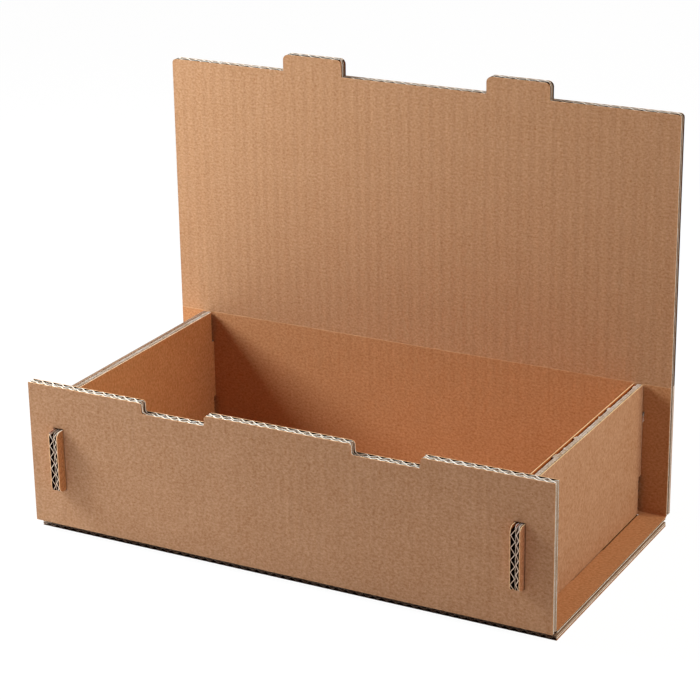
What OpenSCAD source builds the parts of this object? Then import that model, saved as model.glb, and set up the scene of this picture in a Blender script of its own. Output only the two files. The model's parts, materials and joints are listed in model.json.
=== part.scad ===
// Gift box of double-wall corrugated board.
// One long sheet is cut half through at three lines and folds into the front, the base,
// the back and the lid. Two equal end panels stand inside it, each held by a tab through
// the front, a tab through the back and a tab in the base.
// X runs along the front, Y from the front to the back, Z up. The origin is the middle
// of the underside.

/* [Box] */
// Width of the long sheet, from end to end
box_w = 360; // [260:1:480]
// Depth inside, from the front fold to the back fold
inner_d = 176; // [130:1:260]
// Height of the lid's fold above the base
fold_h = 88; // [76:1:140]

/* [Board] */
// Thickness of each of the three flat liners
liner_t = 0.4; // [0.3:0.05:0.5]
// Thickness of the paper in the flutes
medium_t = 0.3; // [0.2:0.05:0.4]
// Height of the coarse flutes, which lie on the inner side of the sheet
coarse_h = 3.2; // [2.6:0.1:4]
// Distance between crests of the coarse flutes
coarse_pitch = 7.7; // [6.6:0.1:9]
// Height of the fine flutes, which lie on the outer side of the sheet
fine_h = 2.2; // [1.6:0.1:2.8]
// Distance between crests of the fine flutes
fine_pitch = 6.2; // [5.2:0.1:7.2]

/* [End panels] */
// Distance from the end of the sheet to an end panel's outer face
panel_inset = 18; // [8:0.5:40]
// Height of the tabs at the panel's front and back
end_tab_h = 40.5; // [20:0.5:44]
// Height of those tabs' lower edge above the base
end_tab_z = 25.5; // [8:0.5:28]
// How far those tabs stand out of the front and the back
end_tab_out = 6.5; // [1:0.5:12]
// Corner radius of those tabs
end_tab_r = 3.5; // [1:0.5:6]
// Length of the tab in the base
base_tab_l = 46; // [20:1:90]

/* [Lid] */
// Distance between the middles of the lid's two tabs
lid_tab_gap = 146; // [80:1:170]
// Width of a lid tab
lid_tab_w = 43; // [20:1:60]
// How far a shut lid's tabs stand out of the front
lid_tab_out = 3.9; // [0:0.1:10]
// Corner radius of the lid tabs
lid_tab_r = 3.5; // [1:0.5:5]
// Corner radius of the lid itself
lid_corner_r = 2.5; // [1:0.5:5]

/* [Fits] */
// Play on each side of a tab in its slot, across the board
slot_play = 0.5; // [0.2:0.1:1]
// Play at each end of a tab in its slot
slot_end_play = 0.8; // [0.2:0.1:2]
// Play between an end panel and what it stands against
seat_play = 0.3; // [0.1:0.1:0.8]
// Play beside a lid tab at the floor of its notch
notch_play = 1; // [0.9:0.1:3]
// How much a notch widens on each side towards the edge
notch_flare = 0.3; // [0:0.1:3]
// Radius at the mouth of a notch
notch_r = 2; // [0.5:0.1:3]
// Radius at the floor of a notch
notch_floor_r = 1.2; // [0.5:0.1:1.5]
// Width of the slit between the lid and the back
fold_slit = 0.3; // [0.1:0.1:0.6]

/* [Hidden] */

// Flat faces at each rounded corner
corner_steps = 4;
// How far a cutting shape runs past the board
over = 2;
kraft = [0.66, 0.51, 0.39];
kraft_inside = [0.63, 0.46, 0.32];

board_t = 3 * liner_t + coarse_h + fine_h;
fold_z = board_t + fold_h;
front_top = fold_z + board_t;
lid_l = inner_d - 2 * seat_play;
lid_tab_l = 2 * seat_play + board_t + lid_tab_out;
lid_top = fold_z + lid_l;
panel_x = [-box_w / 2 + panel_inset, box_w / 2 - panel_inset - board_t];

// Corner b of an outline, rounded to radius r between its neighbours a and c
function rounded(a, b, c, r) =
    let (
        u = (a - b) / norm(a - b),
        v = (c - b) / norm(c - b),
        half = acos(u * v) / 2,
        centre = b + (u + v) / norm(u + v) * r / sin(half),
        from = b + u * r / tan(half) - centre,
        to = b + v * r / tan(half) - centre,
        turn = sign(from.x * to.y - from.y * to.x) * (180 - 2 * half),
        start = atan2(from.y, from.x)
    )
    [for (i = [0:corner_steps])
        centre + r * [cos(start + turn * i / corner_steps), sin(start + turn * i / corner_steps)]];

// Points of an outline given as [x, y, corner radius]
function outline(corners) =
    let (n = len(corners), at = [for (c = corners) [c.x, c.y]])
    [for (i = [0:n - 1])
        each corners[i].z > 0
            ? rounded(at[(i + n - 1) % n], at[i], at[(i + 1) % n], corners[i].z)
            : [at[i]]];

// The open cells of one fluted layer whose inner side lies at level floor_y, in section
module flute_cells(from, to, crest, pitch, height, floor_y) {
    slope = atan(2 * height / pitch);
    side = medium_t / 2 / sin(slope);
    tip = medium_t / 2 / cos(slope);
    for (i = [floor((from - crest) / pitch):ceil((to - crest) / pitch)]) {
        x = crest + i * pitch;
        polygon([
            [x - pitch / 2 + side, floor_y],
            [x + pitch / 2 - side, floor_y],
            [x, floor_y + height - tip]
        ]);
        polygon([
            [x + side, floor_y + height],
            [x + pitch - side, floor_y + height],
            [x + pitch / 2, floor_y + tip]
        ]);
    }
}

// Double-wall board: X runs across the flutes, Y from the coarse side to the fine side,
// and the flutes run along Z. A coarse crest meets the middle liner at x = crest.
module board(from, to, run, crest) {
    linear_extrude(run)
        difference() {
            translate([from, 0])
                square([to - from, board_t]);
            flute_cells(from, to, crest, coarse_pitch, coarse_h, liner_t);
            flute_cells(from, to, crest + fine_pitch / 4, fine_pitch, fine_h, 2 * liner_t + coarse_h);
        }
}

// A full width of board that stands along X, with its inner face at Y = 0 and its
// thickness towards +Y
module standing_board(run) {
    board(-box_w / 2, box_w / 2, run, 0);
}

// Room for an end panel's tab in the front or the back, cut from just inside y0 to y1
module end_tab_slot(x, y0, y1) {
    translate([x - slot_play, y0, board_t + end_tab_z - slot_end_play])
        cube([board_t + 2 * slot_play, y1 - y0, end_tab_h + 2 * slot_end_play]);
}

// Outline of the front's upper edge, with a notch for each lid tab; it trims a taller sheet
module front_edge() {
    floor_z = fold_z - seat_play;
    w0 = lid_tab_w / 2 + notch_play;
    w1 = w0 + notch_flare;
    rotate([90, 0, 0])
        linear_extrude(board_t + 2 * over, center = true)
            polygon(outline([
                [-box_w / 2 - over, -over, 0],
                [box_w / 2 + over, -over, 0],
                [box_w / 2 + over, front_top, 0],
                for (m = [lid_tab_gap / 2, -lid_tab_gap / 2])
                    each [
                        [m + w1, front_top, notch_r],
                        [m + w0, floor_z, notch_floor_r],
                        [m - w0, floor_z, notch_floor_r],
                        [m - w1, front_top, notch_r]
                    ],
                [-box_w / 2 - over, front_top, 0]
            ]));
}

module front_panel() {
    difference() {
        intersection() {
            translate([0, -inner_d / 2, board_t])
                mirror([0, 1, 0])
                    standing_board(fold_h + board_t + over);
            translate([0, -inner_d / 2 - board_t / 2, 0])
                front_edge();
        }
        for (x = panel_x)
            end_tab_slot(x, -inner_d / 2 - board_t - over, -inner_d / 2 + over);
    }
}

module base_panel() {
    difference() {
        translate([0, -inner_d / 2, board_t])
            rotate([-90, 0, 0])
                standing_board(inner_d);
        for (x = panel_x)
            translate([x - slot_play, -base_tab_l / 2 - slot_end_play, -over])
                cube([board_t + 2 * slot_play, base_tab_l + 2 * slot_end_play, board_t + 2 * over]);
    }
}

module back_panel() {
    difference() {
        translate([0, inner_d / 2, board_t])
            standing_board(fold_h - fold_slit / 2);
        for (x = panel_x)
            end_tab_slot(x, inner_d / 2 - over, inner_d / 2 + board_t + over);
    }
}

// The inner liner goes on round a half-cut fold and is all that joins the two panels
module fold_liners() {
    for (side = [-1, 1])
        translate([-box_w / 2, side * (inner_d / 2 + liner_t / 2) - liner_t / 2, board_t - liner_t])
            cube([box_w, liner_t, liner_t]);
}

module tray_sheet() {
    color(kraft)
        union() {
            front_panel();
            base_panel();
            back_panel();
            fold_liners();
        }
}

// Outline of the lid, with its two tabs; it trims a taller sheet
module lid_outline() {
    w = lid_tab_w / 2;
    rotate([90, 0, 0])
        linear_extrude(board_t + 2 * over, center = true)
            polygon(outline([
                [-box_w / 2, fold_z - over, 0],
                [box_w / 2, fold_z - over, 0],
                [box_w / 2, lid_top, lid_corner_r],
                for (m = [lid_tab_gap / 2, -lid_tab_gap / 2])
                    each [
                        [m + w, lid_top, 0],
                        [m + w, lid_top + lid_tab_l, lid_tab_r],
                        [m - w, lid_top + lid_tab_l, lid_tab_r],
                        [m - w, lid_top, 0]
                    ],
                [-box_w / 2, lid_top, lid_corner_r]
            ]));
}

module lid() {
    color(kraft_inside)
        intersection() {
            translate([0, inner_d / 2, fold_z + fold_slit / 2])
                standing_board(lid_l + lid_tab_l + over);
            translate([0, inner_d / 2 + board_t / 2, 0])
                lid_outline();
        }
}

// Side view of an end panel: Y along the panel, Z up
module end_panel_outline() {
    y0 = inner_d / 2 - seat_play;
    y1 = inner_d / 2 + board_t + end_tab_out;
    z0 = board_t + seat_play;
    z1 = fold_z - seat_play;
    t0 = board_t + end_tab_z;
    t1 = t0 + end_tab_h;
    polygon(outline([
        [-y0, z0, 0],
        [-base_tab_l / 2, z0, 0],
        [-base_tab_l / 2, seat_play, 0],
        [base_tab_l / 2, seat_play, 0],
        [base_tab_l / 2, z0, 0],
        [y0, z0, 0],
        [y0, t0, 0],
        [y1, t0, end_tab_r],
        [y1, t1, end_tab_r],
        [y0, t1, 0],
        [y0, z1, 0],
        [-y0, z1, 0],
        [-y0, t1, 0],
        [-y1, t1, end_tab_r],
        [-y1, t0, end_tab_r],
        [-y0, t0, 0]
    ]));
}

// An end panel with its coarse side at x. Its flutes run from front to back, and its upper
// edge cuts a coarse flute open.
module end_panel(x) {
    half_run = inner_d / 2 + board_t + end_tab_out + over;
    intersection() {
        translate([x, -half_run, 0])
            rotate([0, -90, -90])
                board(-over, fold_z + over, 2 * half_run, fold_z - seat_play);
        translate([x - over, 0, 0])
            rotate([90, 0, 90])
                linear_extrude(board_t + 2 * over)
                    end_panel_outline();
    }
}

module left_end_panel() {
    color(kraft)
        end_panel(panel_x[0]);
}

module right_end_panel() {
    color(kraft)
        end_panel(panel_x[1]);
}

tray_sheet();
lid();
left_end_panel();
right_end_panel();
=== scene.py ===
"""The looks of a gift box of double-wall corrugated board.

Each panel of the box is laid up the way the board is made, from separate papers: three
liners with a coarse and a fine flute between them. The papers are cut to the panel's
outline, so that every edge of the box shows the true section of the board. The inner liner
is one long paper that runs round every fold and carries the lid.

A panel is modelled lying flat and is then stood in its place. While it lies flat, X runs
across the flutes, Y along them, and Z from the board's coarse side to its fine side.
"""

import json
import logging
import math
import random
from collections.abc import Callable, Iterator
from contextlib import contextmanager
from dataclasses import dataclass, field, replace
from enum import Enum

import bpy
from bmesh import from_edit_mesh
from bmesh.types import BMesh
from bpy.types import Material, Node, NodeSocket, NodeTree, Object
from mathutils import Matrix, Vector
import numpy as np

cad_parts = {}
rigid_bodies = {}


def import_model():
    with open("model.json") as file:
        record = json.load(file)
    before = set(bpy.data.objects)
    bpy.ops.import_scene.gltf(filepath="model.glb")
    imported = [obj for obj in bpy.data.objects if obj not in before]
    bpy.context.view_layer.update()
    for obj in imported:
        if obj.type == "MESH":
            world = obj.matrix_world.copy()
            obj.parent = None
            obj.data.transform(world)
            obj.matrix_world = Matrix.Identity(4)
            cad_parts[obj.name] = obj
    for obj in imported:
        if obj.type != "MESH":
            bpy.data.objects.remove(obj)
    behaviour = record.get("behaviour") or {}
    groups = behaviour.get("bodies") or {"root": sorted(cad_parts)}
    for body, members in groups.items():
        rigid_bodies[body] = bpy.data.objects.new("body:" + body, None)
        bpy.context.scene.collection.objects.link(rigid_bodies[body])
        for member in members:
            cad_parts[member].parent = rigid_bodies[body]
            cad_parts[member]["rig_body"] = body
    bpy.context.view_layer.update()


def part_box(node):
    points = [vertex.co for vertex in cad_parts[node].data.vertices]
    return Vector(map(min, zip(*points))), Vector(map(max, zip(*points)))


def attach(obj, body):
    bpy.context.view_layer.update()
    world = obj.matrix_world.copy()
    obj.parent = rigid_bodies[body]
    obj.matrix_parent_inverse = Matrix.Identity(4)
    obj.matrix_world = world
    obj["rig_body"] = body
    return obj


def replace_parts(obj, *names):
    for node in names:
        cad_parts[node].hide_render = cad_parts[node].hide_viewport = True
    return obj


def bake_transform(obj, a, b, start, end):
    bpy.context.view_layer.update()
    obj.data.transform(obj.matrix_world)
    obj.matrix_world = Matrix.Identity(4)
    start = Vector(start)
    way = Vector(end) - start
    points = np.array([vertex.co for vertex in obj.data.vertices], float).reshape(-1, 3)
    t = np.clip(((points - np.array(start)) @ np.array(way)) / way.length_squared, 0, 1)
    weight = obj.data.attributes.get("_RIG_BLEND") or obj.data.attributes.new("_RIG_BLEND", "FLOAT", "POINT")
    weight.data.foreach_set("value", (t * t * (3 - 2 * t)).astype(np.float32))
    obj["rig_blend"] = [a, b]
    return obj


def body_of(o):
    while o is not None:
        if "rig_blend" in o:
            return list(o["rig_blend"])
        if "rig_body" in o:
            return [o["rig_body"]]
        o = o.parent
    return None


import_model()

log = logging.getLogger("gift_box")

# A colour in 8-bit sRGB, the two ends of a length, the lowest and highest corners of a hole,
# the three materials of a paper, and a test of a place
Colour = tuple[int, int, int]
Span = tuple[float, float]
Hole = tuple[Span, Span]
Look = tuple[str, str, str]
Test = Callable[[Vector], bool]

MM = 0.001
RIGHT, BACK, UP = Vector((1, 0, 0)), Vector((0, 1, 0)), Vector((0, 0, 1))
# The distances between the crests of the two flutes
COARSE_PITCH = 7.7 * MM
FINE_PITCH = 6.2 * MM
# How far in from a cut along the flutes light falls, on most panels and on the end panels
REACH = 0.4 * MM
END_REACH = 5 * MM
# How far from the middle the end panels' front and back tabs begin
TAB_ROOT = 94.6 * MM
# Attributes of the papers: the place on the flat inner liner, and the nearness of a cut that
# opens the cells of the flutes
FLAT_PLACE = "flat_place"
OPEN = "open_cell"
# How far a cutting shape or an untrimmed paper runs past the outline
OVER = 3 * MM
# Two places closer than this are the same
CLOSE = 0.01 * MM
# Flat faces at each rounded corner, and round each fold
CORNER_STEPS = 5
FOLD_STEPS = 3
# About how long a quad of a fluted paper is
FLUTE_ROW = 22 * MM
# How the flutes lean: how many of them one lump of the pattern holds, how much of the lean
# goes up and down, and how far apart two panels read the pattern
LEAN_LUMP = 2.2
LEAN_RISE = 0.25
SEED_STEP = (0.37, 0.11, 0.05)
# A face is upright when its normal's height is less than this
UPRIGHT = 0.1
# An upright face is a cut along the flutes when its normal's X is more than this
SIDEWAYS = 0.7
# A turn that folds a paper towards its inner side, or stands a pattern up
QUARTER = math.pi / 2
# How much more a light or a dark fibre changes the green and the blue of a paper than the red
PALE_FIBRE = (0.95, 1.45, 2.1)
# What the inner liner's colour is multiplied by from the lid's fold on, browner as painted shade
# inside the tray, and again from the base on, paler as painted light on it, and where on the
# flat sheet the base begins
BACK_PAINTED_SHADE = (1.0, 0.88, 0.74)
BASE_PAINTED_LIGHT = (1.16, 1.24, 1.35)
BASE_START = 88 * MM
# What the colour of handled paper is multiplied by, and the colour of fibres cracked at a fold
WORN_TINT = (1.0, 0.84, 0.72)
CRACKED = (226, 190, 152)


class Paper(Enum):
    """The papers of the board, from its coarse side to its fine side."""

    INNER = "inner_liner"
    COARSE = "coarse_flutes"
    MIDDLE = "middle_liner"
    FINE = "fine_flutes"
    OUTER = "outer_liner"


class Face(Enum):
    """The kinds of surface that a paper has, as material slots."""

    BROAD = 0
    CUT = 1
    # These two take painted shade: the sides that look into the cells, and cut faces at half cuts
    HIDDEN = 2
    CRUSHED = 3
    SIDE = 4


# Modelling


def only(piece: Object) -> None:
    """Selects one object and nothing else, and makes it the active one.

    Args:
        piece: The object to work on.
    """
    bpy.ops.object.select_all(action="DESELECT")
    piece.select_set(True)
    bpy.context.view_layer.objects.active = piece


@contextmanager
def editing(piece: Object, mode: str = "VERT") -> Iterator[BMesh]:
    """Opens an object in edit mode with nothing selected.

    Args:
        piece: The object to edit.
        mode: The select mode, VERT, EDGE or FACE.

    Returns:
        The edit mesh, in which verts, edges and faces are selected by their place.
    """
    only(piece)
    bpy.ops.object.mode_set(mode="EDIT")
    bpy.ops.mesh.select_mode(type=mode)
    bpy.ops.mesh.select_all(action="DESELECT")
    yield from_edit_mesh(piece.data)
    bpy.ops.object.mode_set(mode="OBJECT")


def pick_verts(mesh: BMesh, test: Test) -> int:
    """Selects the vertices whose place passes a test, and nothing else.

    Args:
        mesh: The edit mesh.
        test: Tells from a place whether the vertex is wanted.

    Returns:
        How many vertices are selected.
    """
    for v in mesh.verts:
        v.select_set(False)
    found = [v for v in mesh.verts if test(v.co)]
    for v in found:
        v.select_set(True)
    mesh.select_flush(True)
    return len(found)


def near(value: float, place: float) -> bool:
    """Tells whether two lengths are the same to within CLOSE."""
    return abs(value - place) < CLOSE


def apply_all(piece: Object) -> None:
    """Applies an object's modifiers in order.

    Args:
        piece: The object whose modifiers become part of its mesh.
    """
    only(piece)
    for name in [m.name for m in piece.modifiers]:
        bpy.ops.object.modifier_apply(modifier=name)


def combine(piece: Object, tool: Object, operation: str) -> None:
    """Cuts an object with another.

    Args:
        piece: The object to cut.
        tool: The closed cutting shape, which is kept.
        operation: INTERSECT, DIFFERENCE or UNION.
    """
    cut = piece.modifiers.new("cut", "BOOLEAN")
    cut.operation = operation
    cut.object = tool
    cut.solver = "EXACT"
    apply_all(piece)


def discard(*pieces: Object) -> None:
    """Removes tools that have done their work."""
    for piece in pieces:
        bpy.data.objects.remove(piece, do_unlink=True)


def flat_grid(name: str, low: tuple[float, float], high: tuple[float, float],
              columns: int, rows: int, level: float = 0.0) -> Object:
    """Adds a flat sheet of quads.

    Args:
        name: The object's name.
        low: Its lowest X and Y.
        high: Its highest X and Y.
        columns: How many quads lie along X.
        rows: How many quads lie along Y.
        level: Its height.

    Returns:
        The sheet, with its place in its mesh.
    """
    bpy.ops.object.select_all(action="DESELECT")
    bpy.ops.mesh.primitive_grid_add(
        x_subdivisions=columns, y_subdivisions=rows, size=1,
        location=((low[0] + high[0]) / 2, (low[1] + high[1]) / 2, level))
    sheet = bpy.context.object
    sheet.name = name
    sheet.scale = (high[0] - low[0], high[1] - low[1], 1)
    bpy.ops.object.transform_apply(location=True, rotation=True, scale=True)
    return sheet


def block(low: Vector, high: Vector) -> Object:
    """Adds a closed box from its lowest to its highest corner, for use as a cutting tool.

    Args:
        low: Its lowest corner.
        high: Its highest corner.

    Returns:
        The box.
    """
    bpy.ops.object.select_all(action="DESELECT")
    bpy.ops.mesh.primitive_cube_add(size=1, location=(low + high) / 2)
    tool = bpy.context.object
    tool.scale = high - low
    bpy.ops.object.transform_apply(location=True, rotation=True, scale=True)
    return tool


def score(sheet: Object, place: tuple[float, float],
          normal: tuple[float, float]) -> None:
    """Draws a straight line across a flat sheet, which parts its faces there.

    Args:
        sheet: The sheet.
        place: A place on the line.
        normal: The direction square to it.
    """
    with editing(sheet):
        bpy.ops.mesh.select_all(action="SELECT")
        bpy.ops.mesh.bisect(plane_co=(*place, 0), plane_no=(*normal, 0))


def draw_out(sheet: Object, inside: Test,
             move: tuple[float, float]) -> None:
    """Draws part of a flat sheet's edge out to a tab.

    Args:
        sheet: The sheet, scored at the tab's two sides.
        inside: Tells from a place whether it is on the part of the edge that moves.
        move: How far the tab stands out, across and along.
    """
    with editing(sheet) as mesh:
        pick_verts(mesh, inside)
        bpy.ops.mesh.extrude_region_move(TRANSFORM_OT_translate={"value": (*move, 0)})


def merge_faces(sheet: Object) -> None:
    """Makes a flat sheet one face again, with only its outline left.

    Args:
        sheet: The sheet.
    """
    with editing(sheet):
        bpy.ops.mesh.select_all(action="SELECT")
        bpy.ops.mesh.normals_make_consistent(inside=False)
        bpy.ops.mesh.dissolve_limited(angle_limit=0.001, use_dissolve_boundaries=False)


def round_corners(sheet: Object, radius: float,
                  corner: Test) -> None:
    """Rounds the corners of a flat outline.

    Args:
        sheet: The sheet, as one face.
        radius: The radius.
        corner: Tells from a place whether it is a corner to round.
    """
    with editing(sheet) as mesh:
        pick_verts(mesh, corner)
        bpy.ops.mesh.bevel(offset=radius, segments=CORNER_STEPS, affect="VERTICES")


def mark_open(paper: Object, reach: float, both: bool) -> None:
    """Marks how near each place of a flat paper is to a cut along the flutes.

    Such a cut opens their cells, so light falls on the papers for some way in.

    Args:
        paper: The trimmed paper, with its cut faces marked.
        reach: How far in the light falls.
        both: Whether it falls in from both sides, and not from the one with high X alone.
    """
    points = paper.data.vertices
    torn = {}
    for face in paper.data.polygons:
        if face.material_index == Face.SIDE.value and (both or face.normal.x > 0):
            for i in face.vertices:
                torn.setdefault(round(points[i].co.y / MM, 1), set()).add(points[i].co.x)
    layer = paper.data.attributes.new(OPEN, "FLOAT", "POINT")
    for point, value in zip(points, layer.data):
        edges = torn.get(round(point.co.y / MM, 1), ())
        away = min((abs(point.co.x - x) for x in edges), default=reach)
        value.value = max(0.0, 1 - away / reach)


def mark_faces(paper: Object, painted_cell_shade: int, painted_fold_shade: tuple[float, ...]) -> None:
    """Tells a flat paper's cut faces, which stand upright, from its broad faces and those that take painted
    shade.

    Args:
        paper: The trimmed paper, which takes one material slot for each kind of face.
        painted_cell_shade: 1 if the upper side takes the painted shade of the cells, -1 if the lower, 0 if
            none.
        painted_fold_shade: The places along the flutes of half cuts, whose cut faces take painted shade.
    """
    paper.data.materials.clear()
    for _ in Face:
        paper.data.materials.append(None)
    for face in paper.data.polygons:
        at_half_cut = any(near(face.center.y, place) for place in painted_fold_shade)
        if abs(face.normal.z) < UPRIGHT:
            kind = Face.SIDE if abs(face.normal.x) > SIDEWAYS else Face.CUT
            # A cut face at a half cut takes painted shade
            kind = Face.CRUSHED if at_half_cut else kind
        else:
            # The side that looks into the cells takes painted shade
            kind = Face.HIDDEN if face.normal.z * painted_cell_shade > 0 else Face.BROAD
        face.material_index = kind.value


def thicken(sheet: Object, thickness: float, offset: float) -> None:
    """Gives a sheet its thickness.

    Args:
        sheet: The sheet, whose faces look outwards.
        thickness: The thickness.
        offset: -1 to grow away from the faces' front, 0 to grow both ways.
    """
    solid = sheet.modifiers.new("thickness", "SOLIDIFY")
    solid.thickness = thickness
    solid.offset = offset
    solid.use_even_offset = True
    apply_all(sheet)


def placing(origin: Vector, *axes: Vector) -> Matrix:
    """The placing that puts an origin and three axes where they are named."""
    return Matrix.Translation(origin) @ Matrix(axes).transposed().to_4x4()


def stand(piece: Object, lay: Matrix) -> None:
    """Moves a flat piece to its place in the box and applies the move.

    Args:
        piece: The piece.
        lay: Its placing.
    """
    piece.matrix_world = lay
    only(piece)
    bpy.ops.object.transform_apply(location=True, rotation=True, scale=True)


def report(piece: Object) -> None:
    """Logs a finished piece with its size.

    Args:
        piece: The piece.
    """
    piece.data.calc_loop_triangles()
    log.info("%s: %d triangles, on %s", piece.name, len(piece.data.loop_triangles),
             body_of(piece))


# Finishes


def sample(colour: Colour) -> tuple[float, float, float, float]:
    """Turns a colour in 8-bit sRGB into the linear colour that a socket takes.

    Args:
        colour: Its red, green and blue, from 0 to 255.

    Returns:
        The linear red, green and blue, and an alpha of 1.
    """
    def linear(level: int) -> float:
        """The linear value of one sRGB channel."""
        x = level / 255
        return x / 12.92 if x <= 0.04045 else ((x + 0.055) / 1.055) ** 2.4
    return (*(linear(level) for level in colour), 1.0)


class Tree:
    """A node tree that is filled by short calls, which take numbers or sockets as values."""

    def __init__(self, tree: NodeTree) -> None:
        """Starts on a tree and empties it."""
        self.tree = tree
        tree.nodes.clear()

    def node(self, kind: str, values: dict | None = None, **settings: object) -> Node:
        """Adds a node.

        Args:
            kind: The node's type.
            values: What each input socket is given, by name or number: a value to hold, or
                another node's output socket to be linked from.
            settings: The node's own settings.

        Returns:
            The node.
        """
        made = self.tree.nodes.new(kind)
        for key, value in settings.items():
            setattr(made, key, value)
        for key, value in (values or {}).items():
            if isinstance(value, NodeSocket):
                self.tree.links.new(value, made.inputs[key])
            else:
                made.inputs[key].default_value = value
        return made

    def math(self, operation: str, *values: object) -> NodeSocket:
        """Adds a Math node and gives its output."""
        return self.node("ShaderNodeMath", dict(enumerate(values)), operation=operation).outputs[0]

    def vector_math(self, operation: str, values: dict) -> NodeSocket:
        """Adds a Vector Math node and gives its output."""
        return self.node("ShaderNodeVectorMath", values, operation=operation).outputs[0]

    def axis(self, place: NodeSocket, index: int) -> NodeSocket:
        """Splits one coordinate off a place."""
        return self.node("ShaderNodeSeparateXYZ", {0: place}).outputs[index]

    def mapped(self, place: NodeSocket, **values: tuple[float, float, float]) -> NodeSocket:
        """Scales or turns a place, by the Scale or the Rotation of a Mapping node."""
        return self.node("ShaderNodeMapping", {"Vector": place, **values}).outputs[0]

    def ramp(self, value: NodeSocket, start: float, end: float, low: object = 0.0,
             high: object = 1.0) -> NodeSocket:
        """Maps a value from one range to another, and holds it within the second."""
        return self.node("ShaderNodeMapRange", {
            "Value": value, "From Min": start, "From Max": end, "To Min": low,
            "To Max": high}).outputs[0]

    def mix(self, share: NodeSocket, first: object, second: object) -> NodeSocket:
        """Mixes two colours, where a share of 1 is the second alone."""
        return self.node("ShaderNodeMix", {"Factor": share, "A": first, "B": second},
                         data_type="RGBA").outputs["Result"]

    def noise(self, place: NodeSocket, scale: float, detail: float = 2.0,
              roughness: float = 0.5) -> NodeSocket:
        """Adds a Noise Texture.

        Args:
            place: The socket that it reads its place from.
            scale: How many lumps lie along a metre.
            detail: How many finer layers it has.
            roughness: How strong those layers are.

        Returns:
            The noise, about 0.5.
        """
        return self.node("ShaderNodeTexNoise",
                         {"Vector": place, "Scale": scale, "Detail": detail,
                          "Roughness": roughness}).outputs["Fac"]

    def drift(self, strength: object, *noise: object) -> NodeSocket:
        """Adds a noise about 0, from its strength and what a noise takes."""
        return self.math("MULTIPLY", self.math("SUBTRACT", self.noise(*noise), 0.5), strength)


class Group(Tree):
    """A shader node group."""

    def __init__(self, name: str, inputs: dict[str, tuple[str, object]],
                 outputs: dict[str, str]) -> None:
        """Starts a group.

        Args:
            name: Its name.
            inputs: Each input's name, with the kind of socket and its first value.
            outputs: Each output's name, with the kind of socket.
        """
        super().__init__(bpy.data.node_groups.new(name, "ShaderNodeTree"))
        for side, sockets in (("INPUT", inputs),
                              ("OUTPUT", {key: (kind, None) for key, kind in outputs.items()})):
            for key, (kind, value) in sockets.items():
                made = self.tree.interface.new_socket(key, in_out=side,
                                                      socket_type=f"NodeSocket{kind}")
                if value is not None:
                    made.default_value = value
        self.given = {o.name: o for o in self.node("NodeGroupInput").outputs if o.name}

    def give(self, values: dict[str, NodeSocket]) -> NodeTree:
        """Links the group's outputs and gives the group itself."""
        self.node("NodeGroupOutput", values)
        return self.tree


def fibre_group() -> NodeTree:
    """Makes the group for paper fibres: long fine ones, soft clouds and a few dark flecks.

    Returns:
        A group that takes a place, a colour and strengths, and gives a colour and a height.
    """
    group = Group("paper_fibres", {
        "Place": ("Vector", None), "Colour": ("Color", (0.5, 0.3, 0.2, 1)),
        "Speckle": ("Float", 0.1), "Clouds": ("Float", 0.05), "Flecks": ("Float", 0.3)},
        {"Colour": "Color", "Height": "Float"})
    place, colour = group.given["Place"], group.given["Colour"]
    stretched = group.mapped(place, Scale=(0.8, 1, 1))
    grain = group.math("ADD", group.math("MULTIPLY", group.noise(stretched, 1500, 2, 0.6), 0.4),
                       group.math("MULTIPLY", group.noise(stretched, 700, 1, 0.5), 0.6))
    speckle = group.math("MULTIPLY", group.math("SUBTRACT", grain, 0.5), group.given["Speckle"])
    clouds = group.drift(group.given["Clouds"], place, 60, 3, 0.55)
    bright = group.math("ADD", group.math("ADD", speckle, clouds), 1.0)
    fleck = group.ramp(group.noise(place, 700, 1, 0.4), 0.70, 0.78)
    keep = group.math("SUBTRACT", 1.0, group.math("MULTIPLY", fleck, group.given["Flecks"]))
    change = group.math("SUBTRACT", group.math("MULTIPLY", bright, keep), 1.0)
    pale = group.vector_math("SCALE", {0: PALE_FIBRE, "Scale": change})
    tint = group.vector_math("MULTIPLY_ADD", {0: colour, 1: pale, 2: colour})
    return group.give({"Colour": tint, "Height": grain})


def streak_group() -> NodeTree:
    """Makes the group for painted shade: the faint light and dark lines that the washboard of the flutes
    shows on a liner.

    Returns:
        A group that takes a place, a pitch and a strength, and gives a level about 1.
    """
    group = Group("flute_streaks", {
        "Place": ("Vector", None), "Pitch": ("Float", COARSE_PITCH),
        "Strength": ("Float", 0.03)}, {"Level": "Float"})
    place = group.given["Place"]
    turns = group.math("ADD", group.math("DIVIDE", group.axis(place, 0), group.given["Pitch"]),
                       group.drift(0.5, place, 35, 2))
    wave = group.math("COSINE", group.math("MULTIPLY", turns, 2 * math.pi))
    uneven = group.drift(5.0, group.mapped(place, Scale=(1, 0.03, 0.03)), 240, 2)
    both = group.math("ADD", group.math("MULTIPLY", wave, 0.5), uneven)
    level = group.math("ADD", group.math("MULTIPLY", both, group.given["Strength"]), 1.0)
    return group.give({"Level": level})


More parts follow.
